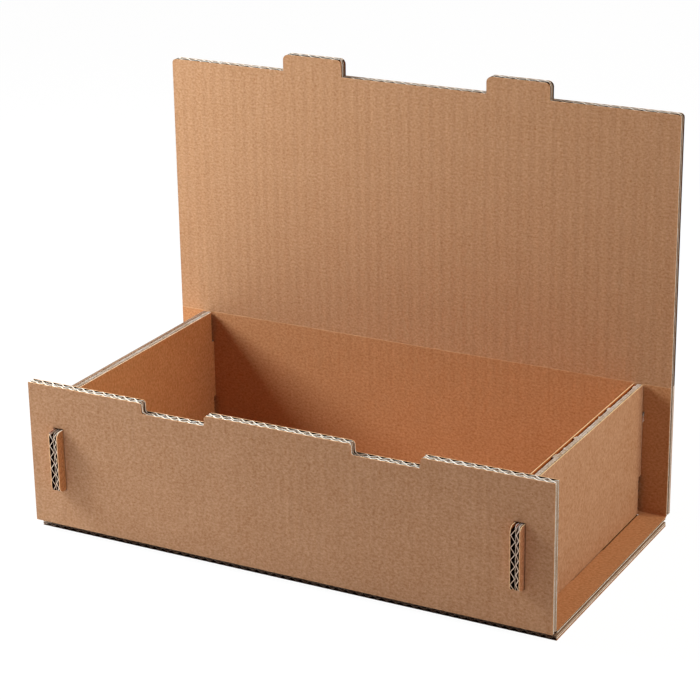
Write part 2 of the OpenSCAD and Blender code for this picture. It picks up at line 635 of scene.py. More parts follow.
class Surface(Tree):
    """The tree of one paper's material, in which its colour is built up in steps."""

    def __init__(self, material: Material, flat: bool, turned: bool) -> None:
        """Starts on a material.

        Args:
            material: The material.
            flat: Whether its patterns lie on the flat sheet, whose Y is 0 at the lid's fold.
            turned: Whether X and Z change places, for a panel that stands with its flutes level.
        """
        material.use_nodes = True
        super().__init__(material.node_tree)
        self.place = (self.node("ShaderNodeAttribute", attribute_name=FLAT_PLACE).outputs["Vector"]
                      if flat else self.node("ShaderNodeTexCoord").outputs["Object"])
        if turned:
            self.place = self.mapped(self.place, Rotation=(0, QUARTER, 0))
        self.colour = None

    def beyond(self, length: NodeSocket, start: float) -> NodeSocket:
        """A mask that turns from 0 to 1 where a length passes a place."""
        return self.ramp(length, start - 0.5 * MM, start + 0.5 * MM)

    def crack_crease(self) -> None:
        """Lightens the paper along the lid's fold, where its fibres have cracked."""
        off = self.math("ABSOLUTE", self.math("ADD", self.axis(self.place, 1),
                                              self.drift(1.6 * MM, self.place, 90, 3, 0.7)))
        strong = self.ramp(self.noise(self.place, 55, 2), 0.3, 0.65, 0.08, 0.42)
        line = self.ramp(off, 0.22 * MM, 0.55 * MM, strong, 0.0)
        self.colour = self.mix(line, self.colour, sample(CRACKED))

    def paint_tray_shade_and_light(self) -> None:
        """Makes the paper browner on the back than on the lid, as painted shade, and paler on the base, as
        painted light.
        """
        along = self.axis(self.place, 1)
        for start, tint in ((0.0, BACK_PAINTED_SHADE), (BASE_START, BASE_PAINTED_LIGHT)):
            toned = self.vector_math("MULTIPLY", {0: self.colour, 1: tint})
            self.colour = self.mix(self.beyond(along, start), self.colour, toned)

    def light_cells(self, opened: Colour) -> None:
        """Lightens the paper where a cut along the flutes lets light in.

        Args:
            opened: The colour that it takes there.
        """
        close = self.node("ShaderNodeAttribute", attribute_name=OPEN).outputs["Fac"]
        patchy = self.math("MULTIPLY", self.drift(0.6, self.place, 300, 3, 0.7), close)
        mask = self.ramp(self.math("ADD", close, patchy), 0.0, 0.7)
        self.colour = self.mix(mask, self.colour, sample(opened))

    def wear_ends(self, start: float) -> None:
        """Browns and roughens the paper towards both ends of the flutes.

        Args:
            start: How far from the middle the wear begins.
        """
        along = self.math("ABSOLUTE", self.axis(self.place, 1))
        rough = self.math("MULTIPLY", self.noise(self.place, 900, 2, 0.6), 0.9)
        worn = self.vector_math("SCALE", {0: self.colour, "Scale": self.math("ADD", rough, 0.5)})
        browned = self.vector_math("MULTIPLY", {0: worn, 1: WORN_TINT})
        self.colour = self.mix(self.beyond(along, start), self.colour, browned)


@dataclass(frozen=True)
class PaperFinish:
    """One paper surface: its colour, its fibres and how rough it is.

    Args:
        name: The material's name.
        colour: Its mean colour in 8-bit sRGB.
        speckle: How strongly the fibres vary the colour.
        clouds: How strongly wide soft patches vary it.
        flecks: How dark its few dark flecks are.
        streaks: How strongly the painted shade of the flutes' washboard shows.
        pitch: The distance between those streaks.
        grain: The height of the fibres, for the bump.
        turned: Whether it is on a panel that stands with its flutes level.
        crease: Whether it lies across the lid's fold, and so is cracked there, with painted shade on the
            back below it and painted light on the base.
        opened: The colour that it takes near a cut along the flutes, where light falls into the cells, if
            any.
        handled: How far from the middle it is darkened by handling, if at all.
        rough: How matt it is.
        gloss: How much light its surface throws back without colouring it.
    """

    name: str = ""
    colour: Colour = (0, 0, 0)
    speckle: float = 1.0
    clouds: float = 0.12
    flecks: float = 0.2
    streaks: float = 0.0
    pitch: float = COARSE_PITCH
    grain: float = 0.05 * MM
    turned: bool = False
    crease: bool = False
    opened: Colour | None = None
    handled: float = 0.0
    rough: float = 0.9
    gloss: float = 0.2

    def build(self, fibres: NodeTree, streaks: NodeTree) -> Material:
        """Makes the material.

        Args:
            fibres: The group for paper fibres.
            streaks: The group for the lines of the flutes.

        Returns:
            The material.
        """
        material = bpy.data.materials.new(self.name)
        surface = Surface(material, self.crease, self.turned)
        paper = surface.node("ShaderNodeGroup", {
            "Place": surface.place, "Colour": sample(self.colour), "Speckle": self.speckle,
            "Clouds": self.clouds, "Flecks": self.flecks}, node_tree=fibres)
        surface.colour = paper.outputs["Colour"]
        # Painted shade: the washboard's lines lighten and darken the colour
        if self.streaks:
            lines = surface.node("ShaderNodeGroup", {
                "Place": surface.place, "Pitch": self.pitch, "Strength": self.streaks},
                node_tree=streaks)
            surface.colour = surface.vector_math(
                "SCALE", {0: surface.colour, "Scale": lines.outputs[0]})
        if self.crease:
            surface.crack_crease()
            surface.paint_tray_shade_and_light()
        if self.opened:
            surface.light_cells(self.opened)
        if self.handled:
            surface.wear_ends(self.handled)
        bump = surface.node("ShaderNodeBump", {"Height": paper.outputs["Height"],
                                               "Distance": self.grain, "Strength": 1.0})
        shader = surface.node("ShaderNodeBsdfPrincipled", {
            "Base Color": surface.colour, "Roughness": self.rough,
            "Specular IOR Level": self.gloss, "Normal": bump.outputs[0]})
        surface.node("ShaderNodeOutputMaterial", {"Surface": shader.outputs[0]})
        return material


# How the papers in the dark of the cells look, apart from their colours
CELL = {"speckle": 0.6, "clouds": 0.3, "flecks": 0.4, "gloss": 0.0}
# Each family of finishes: what its members share, and their names and colours
FINISHES = (
    # The inner liner's crease also brings painted shade on the tray's back and painted light on the base
    (PaperFinish(streaks=0.008, crease=True), {"kraft_inner": (187, 138, 100)}),
    (PaperFinish(streaks=0.008, turned=True), {"kraft_inner_end": (187, 138, 100)}),
    (PaperFinish(streaks=0.006, pitch=FINE_PITCH), {"kraft_outer": (188, 139, 103)}),
    # The left end's paper faces into the tray and is redder and less blue than the right end's: painted warm
    # bounce light and shade of the tray's inside
    (PaperFinish(streaks=0.006, pitch=FINE_PITCH, turned=True, handled=TAB_ROOT),
     {"kraft_left_end": (196, 142, 96), "kraft_right_end": (186, 141, 108)}),
    # The last of these cuts is darker and greyer than the others
    (PaperFinish(speckle=0.9, clouds=0.3, flecks=0.5),
     {"kraft_cut": (232, 182, 138), "kraft_side": (206, 152, 108), "pale_cut": (232, 198, 150),
      "left_cut": (222, 190, 156), "worn_cut": (134, 108, 90)}),
    (PaperFinish(speckle=0.9, clouds=0.4, flecks=0.5),
     {"core_cut": (250, 230, 210), "medium_cut": (255, 246, 236), "tab_cut": (222, 192, 170)}),
    (PaperFinish(speckle=1.4, clouds=0.7, flecks=0.5),
     {"torn_paper": (186, 166, 150), "torn_left": (160, 142, 128)}),
    # Painted shade: the cut faces at half cuts, which lie in the dark at the folds
    (PaperFinish(speckle=1.2, clouds=0.6, flecks=0.5), {"crushed_cut": (112, 92, 78)}),
    (PaperFinish(gloss=0.0), {"shaded_cut": (20, 12, 8)}),
    # The next three families are papers in the dark of the cells: each near-black colour is painted shade,
    # and near a cut along the flutes, where light falls in, they take the opened colour instead
    (PaperFinish(**CELL, opened=(186, 112, 62)),
     {"kraft_hidden": (40, 18, 10), "flank_brown": (32, 16, 10)}),
    (PaperFinish(**CELL, opened=(156, 130, 110)),
     {"medium": (32, 16, 10), "medium_pale": (200, 176, 156)}),
    # This flank's opened colour is paler than the paper itself: painted light
    (PaperFinish(**CELL, opened=(222, 190, 166)), {"flank_pale": (32, 16, 10)}),
)


class Finishes:
    """Every material of the box, by name."""

    def __init__(self) -> None:
        """Makes the two groups and all materials."""
        groups = fibre_group(), streak_group()
        self.made = {name: replace(family, name=name, colour=colour).build(*groups)
                     for family, members in FINISHES for name, colour in members.items()}

    def dress(self, piece: Object, broad: str, cut: str, side: str) -> None:
        """Gives a paper its materials.

        Args:
            piece: The paper.
            broad: The material of its broad faces.
            cut: The material of its edges that are cut across the flutes.
            side: The material of its edges that are cut along the flutes.
        """
        # Faces in the cells and cut faces at half cuts take the dark colours of painted shade
        names = {Face.BROAD: broad, Face.CUT: cut, Face.HIDDEN: "kraft_hidden",
                 Face.CRUSHED: "crushed_cut", Face.SIDE: side}
        for face, finish in names.items():
            piece.data.materials[face.value] = self.made[finish]


# The board


@dataclass(frozen=True)
class Flutes:
    """One wave of paper between two liners.

    Args:
        pitch: The distance between its crests.
        height: Its height, from liner to liner.
        paper: The thickness of its paper.
        steps: How many columns of quads one wave has.
        rounding: How far its shape goes from straight flanks towards a smooth wave.
    """

    pitch: float
    height: float
    paper: float
    steps: int = 12
    rounding: float = 0.15

    def level(self, turn: float) -> float:
        """The wave's height at a place, between 0 and 1.

        Args:
            turn: The place in turns from a crest.

        Returns:
            1 at a crest and 0 halfway between two. The flanks are almost straight.
        """
        turn = abs((turn + 0.5) % 1 - 0.5)
        straight = 1 - 2 * turn
        rounded = (1 + math.cos(2 * math.pi * turn)) / 2
        return (1 - self.rounding) * straight + self.rounding * rounded

    def crests(self, low: float, high: float, crest: float) -> tuple[int, int]:
        """Counts the crests that enclose a length.

        Args:
            low: Where the length begins.
            high: Where it ends.
            crest: The place of crest 0.

        Returns:
            The numbers of the crests at or before its beginning and at or after its end.
        """
        return math.floor((low - crest) / self.pitch), math.ceil((high - crest) / self.pitch)

    def shape(self, sheet: Object, crest: float, lift: Callable[[float], float]) -> None:
        """Lifts the columns of a flat sheet, each by its distance from the nearest crest.

        Args:
            sheet: The sheet, with a column of vertices at each step.
            crest: The place of one crest.
            lift: Gives a column's lift from its distance in turns.
        """
        with editing(sheet) as mesh:
            for step in range(self.steps // 2 + 1):
                turn = step / self.steps
                pick_verts(mesh, lambda co, turn=turn: near(
                    abs(((co.x - crest) / self.pitch + 0.5) % 1 - 0.5) * self.pitch,
                    turn * self.pitch))
                bpy.ops.transform.translate(value=(0, 0, lift(turn)))


@dataclass(frozen=True)
class Board:
    """Double-wall board, from its coarse side at 0 to its fine side.

    Args:
        liner: The thickness of the inner and the outer liner.
        core: The thickness of the middle liner.
        coarse: The flutes on the coarse side.
        fine: The flutes on the fine side.
        sag: How far an outer liner sinks in between two crests.
        lean: How far the flutes lean this way and that.
    """

    liner: float = 0.55 * MM
    core: float = 0.3 * MM
    coarse: Flutes = Flutes(COARSE_PITCH, 3.1 * MM, 0.45 * MM)
    fine: Flutes = Flutes(FINE_PITCH, 2.1 * MM, 0.62 * MM)
    sag: float = 0.05 * MM
    lean: float = 0.4 * MM

    @property
    def thickness(self) -> float:
        """The board's whole thickness."""
        return 2 * self.liner + self.core + self.coarse.height + self.fine.height

    @property
    def middle(self) -> float:
        """The level of the middle liner's coarse face."""
        return self.liner + self.coarse.height


@dataclass(frozen=True)
class Tab:
    """A tab that stands out of a panel's edge, in the flat panel.

    Args:
        axis: The direction that it stands out in: 0 across the flutes, 1 along them.
        edge: The place of the edge that it stands out of.
        tip: The place of its tip.
        span: Where it begins and ends along the edge.
        radius: The radius of its two corners.
    """

    axis: int
    edge: float
    tip: float
    span: tuple[float, float]
    radius: float = 0.0

    def is_end(self, place: float) -> bool:
        """Tells whether a place along the edge is one of the tab's two sides."""
        return near(place, self.span[0]) or near(place, self.span[1])

    def cut(self, sheet: Object) -> None:
        """Draws the tab out of a flat sheet's edge.

        Args:
            sheet: The sheet.
        """
        along = 1 - self.axis
        for end in self.span:
            place, normal = Vector((0, 0)), Vector((0, 0))
            place[along], normal[along] = end, 1
            score(sheet, tuple(place), tuple(normal))
        move = Vector((0, 0))
        move[self.axis] = self.tip - self.edge
        draw_out(sheet, lambda co: near(co[self.axis], self.edge) and self.is_end(co[along]),
                 tuple(move))

    def trim(self, sheet: Object) -> None:
        """Rounds the tab's corners."""
        if self.radius:
            round_corners(sheet, self.radius, lambda co: near(co[self.axis], self.tip)
                          and self.is_end(co[1 - self.axis]))


@dataclass(frozen=True)
class Notch:
    """A notch in the edge that has the highest place along the flutes.

    Args:
        middle: Its middle across the flutes.
        edge: The place of the edge.
        floor: The place of its floor.
        half: Half its width at the floor.
        flare: How much wider it is at its mouth, on each side.
        mouth_radius: The radius at its mouth.
        floor_radius: The radius at its floor.
    """

    middle: float
    edge: float
    floor: float
    half: float
    flare: float
    mouth_radius: float
    floor_radius: float

    def cut(self, sheet: Object) -> None:
        """Cuts the notch out of a flat sheet.

        Args:
            sheet: The sheet.
        """
        score(sheet, (0, self.floor), (0, 1))
        for side in (-1, 1):
            x = self.middle + side * self.half
            score(sheet, (x, 0), (1, 0))
            with editing(sheet) as mesh:
                pick_verts(mesh, lambda co, x=x: near(co.x, x) and near(co.y, self.edge))
                bpy.ops.transform.translate(value=(side * self.flare, 0, 0))
        with editing(sheet, "FACE") as mesh:
            for face in mesh.faces:
                middle = face.calc_center_median()
                face.select_set(abs(middle.x - self.middle) < self.half
                                and middle.y > self.floor)
            bpy.ops.mesh.delete(type="FACE")

    def trim(self, sheet: Object) -> None:
        """Rounds the notch's corners.

        Args:
            sheet: The sheet, as one face.
        """
        for level, half, radius in ((self.edge, self.half + self.flare, self.mouth_radius),
                                    (self.floor, self.half, self.floor_radius)):
            round_corners(sheet, radius, lambda co, level=level, half=half: near(co.y, level)
                          and near(abs(co.x - self.middle), half))


@dataclass
class Panel:
    """One panel of board, modelled flat and then stood in its place.

    Args:
        name: The panel's name, which its papers' names start with.
        board: The board that it is cut from.
        low: Its lowest place across and along the flutes.
        high: Its highest place across and along the flutes.
        origin: Where the flat panel's origin stands.
        across: The direction that its X takes.
        through: The direction that its Z takes, from the coarse to the fine side.
        body: The body that it rides on.
        slot: The record's material slot; not used.
        crest: Where a coarse crest meets the middle liner.
        fine_lag: How much further on a fine crest meets the outer liner.
        seed: The seed of its own unevenness.
        papers: Which papers it has of its own. The long sheet's inner liner is one piece.
        shapes: Its tabs and notches.
        slots: The lowest and the highest corner of each slot through it.
        peeled: Those of each place where the outer liner has come away at an edge.
        rows: Where its liners are parted along the flutes.
        half_cuts: Where its papers end at a fold.
        open_reach: How far light falls in where a cut runs along the flutes.
        turned: Whether its flutes are level.
        corner_radius: The radius of its two corners that are lowest along the flutes.
        looks: The materials of papers that differ from the board's usual ones.
        reach: How far its papers run before they are trimmed, as their two corners.
    """

    name: str
    board: Board
    low: tuple[float, float]
    high: tuple[float, float]
    origin: Vector
    across: Vector
    through: Vector
    body: str
    slot: str
    crest: float = 0.0
    fine_lag: float = 1.55 * MM
    seed: int = 1
    papers: tuple[Paper, ...] = tuple(Paper)[1:]
    shapes: tuple[Tab | Notch, ...] = ()
    slots: tuple[Hole, ...] = ()
    peeled: tuple[Hole, ...] = ()
    rows: tuple[float, ...] = ()
    half_cuts: tuple[float, ...] = ()
    open_reach: float = REACH
    turned: bool = False
    corner_radius: float = 0.0
    looks: dict[Paper, Look] = field(default_factory=dict)
    reach: tuple[Span, Span] = field(init=False)

    @property
    def lay(self) -> Matrix:
        """The placing that stands the flat panel in the box."""
        return placing(self.origin, self.across, self.through.cross(self.across), self.through)

    def blank(self) -> Object:
        """Cuts the panel's outline as a closed shape that is thicker than the board.

        Returns:
            The shape, which each paper is trimmed by.
        """
        shape = flat_grid(f"{self.name}_blank", self.low, self.high, 1, 1, -OVER)
        for part in self.shapes:
            part.cut(shape)
        merge_faces(shape)
        for part in self.shapes:
            part.trim(shape)
        if self.corner_radius:
            round_corners(shape, self.corner_radius, lambda co: near(co.y, self.low[1])
                          and near(abs(co.x), self.high[0]))
        with editing(shape, "FACE"):
            bpy.ops.mesh.select_all(action="SELECT")
            bpy.ops.mesh.extrude_region_move(
                TRANSFORM_OT_translate={"value": (0, 0, self.board.thickness + 2 * OVER)})
            bpy.ops.mesh.select_all(action="SELECT")
            bpy.ops.mesh.normals_make_consistent(inside=False)
        self.punch(shape, self.slots)
        places = [v.co for v in shape.data.vertices]
        self.reach = tuple(tuple(end(co[i] for co in places) + side * OVER for i in (0, 1))
                           for end, side in ((min, -1), (max, 1)))
        return shape

    def punch(self, piece: Object, holes: tuple[Hole, ...]) -> None:
        """Cuts straight holes through the flat panel or one of its papers.

        Args:
            piece: What is cut.
            holes: The lowest and the highest corner of each hole.
        """
        for low, high in holes:
            tool = block(Vector((*low, -2 * OVER)),
                         Vector((*high, self.board.thickness + 2 * OVER)))
            combine(piece, tool, "DIFFERENCE")
            discard(tool)

    def liner(self, paper: Paper) -> Object:
        """Lays one liner, with its face sunk a little between the crests.

        Args:
            paper: Which liner.

        Returns:
            The untrimmed liner.
        """
        board = self.board
        level = {Paper.INNER: board.liner, Paper.MIDDLE: board.middle + board.core,
                 Paper.OUTER: board.thickness}[paper]
        flutes = board.fine if paper is Paper.OUTER else board.coarse
        crest = self.fine_crest if paper is Paper.OUTER else self.crest + flutes.pitch / 2
        sag = {Paper.INNER: board.sag, Paper.MIDDLE: 0.0, Paper.OUTER: -board.sag}[paper]
        low, high = self.reach
        first, last = flutes.crests(low[0], high[0], crest)
        columns = (last - first) * flutes.steps if sag else 1
        sheet = flat_grid(f"{self.name}_{paper.value}", (crest + first * flutes.pitch, low[1]),
                          (crest + last * flutes.pitch, high[1]), columns, 1, level)
        for row in self.rows:
            score(sheet, (0, row), (0, 1))
        if paper is Paper.INNER:
            with editing(sheet, "FACE"):
                bpy.ops.mesh.select_all(action="SELECT")
                bpy.ops.transform.translate(value=(0, 0, -board.liner))
                bpy.ops.mesh.flip_normals()
        if sag:
            flutes.shape(sheet, crest,
                         lambda turn: sag * (1 - math.cos(2 * math.pi * turn)) / 2)
        thicken(sheet, board.core if paper is Paper.MIDDLE else board.liner, -1)
        return sheet

    @property
    def fine_crest(self) -> float:
        """Where a fine crest meets the outer liner."""
        return self.crest + self.fine_lag

    def flutes(self, paper: Paper) -> Object:
        """Corrugates one flute: a wave is shaped, repeated across the panel and made uneven.

        Args:
            paper: Which of the two flutes.

        Returns:
            The untrimmed flute.
        """
        board = self.board
        coarse = paper is Paper.COARSE
        flutes = board.coarse if coarse else board.fine
        floor = (board.liner if coarse else board.middle + board.core) + flutes.paper / 2
        crest = self.crest if coarse else self.fine_crest
        rise = flutes.height - flutes.paper
        low, high = self.reach
        first, last = flutes.crests(low[0], high[0], crest)
        left = crest + first * flutes.pitch
        rows = max(2, round((high[1] - low[1]) / FLUTE_ROW))
        sheet = flat_grid(f"{self.name}_{paper.value}", (left, low[1]),
                          (left + flutes.pitch, high[1]), flutes.steps, rows, floor)
        flutes.shape(sheet, left, lambda turn: rise * flutes.level(turn))
        repeat = sheet.modifiers.new("repeat", "ARRAY")
        repeat.count = last - first
        repeat.use_relative_offset = False
        repeat.use_constant_offset = True
        repeat.constant_offset_displace = (flutes.pitch, 0, 0)
        repeat.use_merge_vertices = True
        repeat.merge_threshold = CLOSE
        self.add_lean(sheet, flutes)
        apply_all(sheet)
        thicken(sheet, flutes.paper, 0)
        return sheet

    def add_lean(self, sheet: Object, flutes: Flutes) -> None:
        """Makes the flutes lean and wander a little, as pressed board does.

        Args:
            sheet: The flute.
            flutes: Its sizes.
        """
        clouds = bpy.data.textures.new(f"{sheet.name}_lean", "CLOUDS")
        clouds.noise_scale = LEAN_LUMP * flutes.pitch
        clouds.noise_depth = 1
        shift = bpy.data.objects.new(f"{sheet.name}_shift", None)
        bpy.context.scene.collection.objects.link(shift)
        shift.location = [step * self.seed for step in SEED_STEP]
        for axis, strength in (("X", self.board.lean), ("Z", LEAN_RISE * self.board.lean)):
            lean = sheet.modifiers.new(f"lean_{axis}", "DISPLACE")
            lean.texture = clouds
            lean.texture_coords = "OBJECT"
            lean.texture_coords_object = shift
            lean.direction = axis
            lean.mid_level = 0.5
            lean.strength = strength
        bpy.context.view_layer.update()

    def build(self, finishes: Finishes) -> None:
        """Lays up, trims, places and dresses the panel's papers.

        Args:
            finishes: The box's materials.
        """
        shape = self.blank()
        for paper in self.papers:
            wave = paper in (Paper.COARSE, Paper.FINE)
            piece = self.flutes(paper) if wave else self.liner(paper)
            combine(piece, shape, "INTERSECT")
            if paper is Paper.OUTER:
                self.punch(piece, self.peeled)
            # Which side of each paper takes the painted shade of the cells
            painted_cell_shade = {Paper.INNER: 1, Paper.COARSE: -1, Paper.OUTER: -1}.get(paper, 0)
            mark_faces(piece, painted_cell_shade, self.half_cuts)
            mark_open(piece, self.open_reach, not self.turned)
            stand(piece, self.lay)
            finishes.dress(piece, *self.finish_of(paper))
            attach(piece, self.body)
            report(piece)
        discard(shape, *(o for o in bpy.data.objects if o.name.endswith("_shift")))

    def finish_of(self, paper: Paper) -> tuple[str, str, str]:
        """Names a paper's materials.

        Args:
            paper: Which paper.

        Returns:
            The material of its broad faces, and those of its edges that are cut across and
            along the flutes.
        """
        usual = {Paper.INNER: ("kraft_inner", "kraft_cut", "kraft_side"),
                 Paper.OUTER: ("kraft_outer", "kraft_cut", "kraft_side"),
                 Paper.MIDDLE: ("medium", "core_cut", "core_cut"),
                 Paper.COARSE: ("medium_pale", "medium_cut", "medium_cut"),
                 Paper.FINE: ("medium_pale", "medium_cut", "medium_cut")}
        return (usual | self.looks)[paper]


@dataclass
class FoldedLiner(Panel):
    """The inner liner, one long paper that is folded at the base's two edges and at the lid.

    While it lies flat, Y is 0 at the lid's fold and grows down the back.

    Args:
        folds: The places of the two folds of the base, the furthest one first.
        bend: The radius inside those folds.
        crease: How deep the lid's crease is pressed.
        crease_half: Half the crease's width.
        swing: How far above and below the hinge the paper bends with the lid.
    """

    folds: tuple[float, float] = (264 * MM, 88 * MM)
    bend: float = 0.7 * MM
    crease: float = 0.16 * MM
    crease_half: float = 0.3 * MM
    swing: float = 0.48 * MM

    def build(self, finishes: Finishes) -> None:
        """Cuts the paper flat, folds it and joins it to both the tray and the lid.

        Args:
            finishes: The box's materials.
        """
        lines = [side * reach * self.crease_half for side in (-1, 1) for reach in (1, 2)]
        self.rows = (*self.folds, 0.0, *lines)
        shape = self.blank()
        sheet = self.liner(Paper.INNER)
        combine(sheet, shape, "INTERSECT")
        mark_faces(sheet, 1, ())
        discard(shape)
        places = sheet.data.attributes.new(FLAT_PLACE, "FLOAT_VECTOR", "POINT")
        places.data.foreach_set("vector", [c for v in sheet.data.vertices for c in v.co])
        with editing(sheet) as mesh:
            pick_verts(mesh, lambda co: near(co.y, 0))
            bpy.ops.transform.translate(value=(0, 0, self.crease))
        for line in self.folds:
            self.fold(sheet, line)
        stand(sheet, self.lay)
        finishes.dress(sheet, *self.finish_of(Paper.INNER))
        half = self.swing * UP
        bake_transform(sheet, "tray", "lid", start=self.origin - half, end=self.origin + half)
        report(sheet)

    def fold(self, sheet: Object, line: float) -> None:
        """Folds what lies beyond a line a quarter turn towards the paper's inner side.

        Args:
            sheet: The paper.
            line: The place of the fold.
        """
        paper = self.board.liner
        slack = 2 * self.board.sag
        with editing(sheet) as mesh:
            pick_verts(mesh, lambda co: co.y > line - CLOSE)
            bpy.ops.transform.rotate(value=QUARTER, orient_axis="X",
                                     center_override=(0, line, 0))
            pick_verts(mesh, lambda co: abs(co.z) < slack
                       and abs(co.y - line - paper) < slack)
            bpy.ops.transform.translate(value=(0, 0, paper))
        for offset, radius in ((0.0, self.bend), (paper, self.bend + paper)):
            with editing(sheet) as mesh:
                pick_verts(mesh, lambda co, offset=offset: abs(co.z - offset) < slack
                           and abs(co.y - line - offset) < slack)
                bpy.ops.mesh.bevel(offset=radius, segments=FOLD_STEPS, affect="EDGES")


@dataclass(frozen=True)
class TornStrip:
    """A strip of torn paper, such as the flute that tore along an end panel's upper edge.

    Args:
        name: The piece's name.
        low: Its lowest place: X at its ragged edge, the first end, and its level.
        high: Its highest place: X at its straight edge, and the other end.
        lay: The placing that stands the flat strip in the box.
        columns: How many quads lie across it.
        steps: How many lie along it.
        spikes: How many spikes its ragged edge has.
        bridges: How many its other edge has.
        spike: How far they stand out.
        widths: How wide they are, in quads to each side.
        finish: The material.
        rough: How uneven the paper is.
        lift: How far it may stand above its level.
        thickness: The paper's thickness.
        seed: The seed of its unevenness.
    """

    name: str
    low: Vector
    high: Vector
    lay: Matrix = Matrix.Identity(4)
    columns: int = 5
    steps: int = 170
    spikes: int = 9
    bridges: int = 0
    spike: float = 1.0 * MM
    widths: tuple[float, ...] = (0.6, 1.5, 2.5)
    finish: str = "torn_paper"
    rough: float = 0.16 * MM
    lift: float = 0.15 * MM
    thickness: float = 0.25 * MM
    seed: int = 1

    def build(self, finishes: Finishes) -> None:
        """Tears and dresses the strip.

        Args:
            finishes: The box's materials.
        """
        chance = random.Random(self.seed)
        strip = flat_grid(self.name, tuple(self.low.xy), tuple(self.high.xy), self.columns,
                          self.steps, self.low.z)
        ragged = (self.high.x - self.low.x) / self.columns
        pitch = (self.high.y - self.low.y) / self.steps
        with editing(strip) as mesh:
            for edge, side, count in ((self.low.x, -1, self.spikes),
                                      (self.high.x, 1, self.bridges)):
                for tip in sorted(chance.sample(range(2, self.steps - 2), count)):
                    reach = side * self.spike * chance.uniform(0.5, 1.0)
                    wide = chance.choice(self.widths)
                    pick_verts(mesh, lambda co, edge=edge, tip=tip, wide=wide: near(co.x, edge)
                               and abs((co.y - self.low.y) / pitch - tip) < wide)
                    bpy.ops.transform.translate(value=(reach, chance.uniform(-1, 1) * pitch, 0))
            pick_verts(mesh, lambda co: co.x < self.low.x + ragged + CLOSE)
            bpy.ops.transform.vertex_random(offset=1.5 * self.rough, seed=self.seed)
            pick_verts(mesh, lambda co: co.x > self.low.x + ragged + CLOSE)
            bpy.ops.transform.vertex_random(offset=self.rough, seed=self.seed + 1)
        thicken(strip, self.thickness, -1)
        with editing(strip) as mesh:
            for vertex in mesh.verts:
                vertex.co.z = min(vertex.co.z, self.low.z + self.lift)
        stand(strip, self.lay)
        strip.data.materials.append(finishes.made[self.finish])
        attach(strip, "tray")
        report(strip)


def edge_strip(start: float, end: float, level: float, **settings: object) -> TornStrip:
    """Lays out a strip along an end panel's upper edge, whose length the panel gives.

    Args:
        start: Where it begins across the board.
        end: Where it ends.
        level: Its height above the edge.
        settings: Its other fields.

    Returns:
        The strip.
    """
    return TornStrip("strip", Vector((start, 0, level)), Vector((end, 0, 0)), **settings)


def stem(node: str) -> str:
    """The name that the papers of an end panel start with."""
    return node.removesuffix("_panel")


@dataclass(frozen=True)
class EndLook:
    """How one end panel differs from the other.

    Args:
        shift: How far above its upper edge a coarse crest lies.
        looks: The materials of its papers.
        strips: The torn strips along that edge, measured across the board and from the edge.
        heels: How far its outer liner has come away at the back, below and above the tab.
        fine_lag: How much further on than a coarse crest a fine one lies.
        seed: The seed of its unevenness.
    """

    shift: float
    looks: dict[Paper, Look]
    strips: dict[str, TornStrip]
    heels: Span
    fine_lag: float = 1.55 * MM
    seed: int = 0


# How each end panel looks, by the name of its solid
RIGHT_END = "right_end_panel"
END_PANELS = {
    "left_end_panel": EndLook(
        3.85 * MM,
        {Paper.INNER: ("kraft_inner_end", "kraft_cut", "worn_cut"),
         Paper.COARSE: ("flank_pale", "tab_cut", "worn_cut"),
         Paper.MIDDLE: ("medium", "tab_cut", "torn_left"),
         Paper.FINE: ("medium", "tab_cut", "torn_left"),
         Paper.OUTER: ("kraft_left_end", "kraft_cut", "left_cut")},
        {"flank_strip": edge_strip(0.5 * MM, 3.2 * MM, -0.4 * MM, spikes=0, finish="worn_cut",
                                   seed=22),
         "torn_strip": edge_strip(3.1 * MM, 5.2 * MM, -0.1 * MM, spikes=12, bridges=9,
                                  spike=0.7 * MM, finish="torn_left", seed=20)},
        (1.5 * MM, 1.5 * MM), fine_lag=-0.75 * MM),
    RIGHT_END: EndLook(
        0.0,
        {Paper.INNER: ("kraft_inner_end", "kraft_cut", "pale_cut"),
         Paper.COARSE: ("flank_brown", "tab_cut", "torn_paper"),
         Paper.MIDDLE: ("medium", "tab_cut", "torn_paper"),
         Paper.FINE: ("medium", "tab_cut", "torn_paper"),
         Paper.OUTER: ("kraft_right_end", "kraft_cut", "pale_cut")},
        {"torn_strip": edge_strip(2.7 * MM, 5.6 * MM, -0.1 * MM, spikes=7, spike=1.5 * MM,
                                  seed=21)},
        (3.0 * MM, 0.0), seed=1),
}
# The lid's outer papers, whose cuts along the flutes lie in shade
LID_LOOKS = {Paper.OUTER: ("kraft_outer", "kraft_cut", "shaded_cut"),
             Paper.FINE: ("medium_pale", "medium_cut", "shaded_cut")}


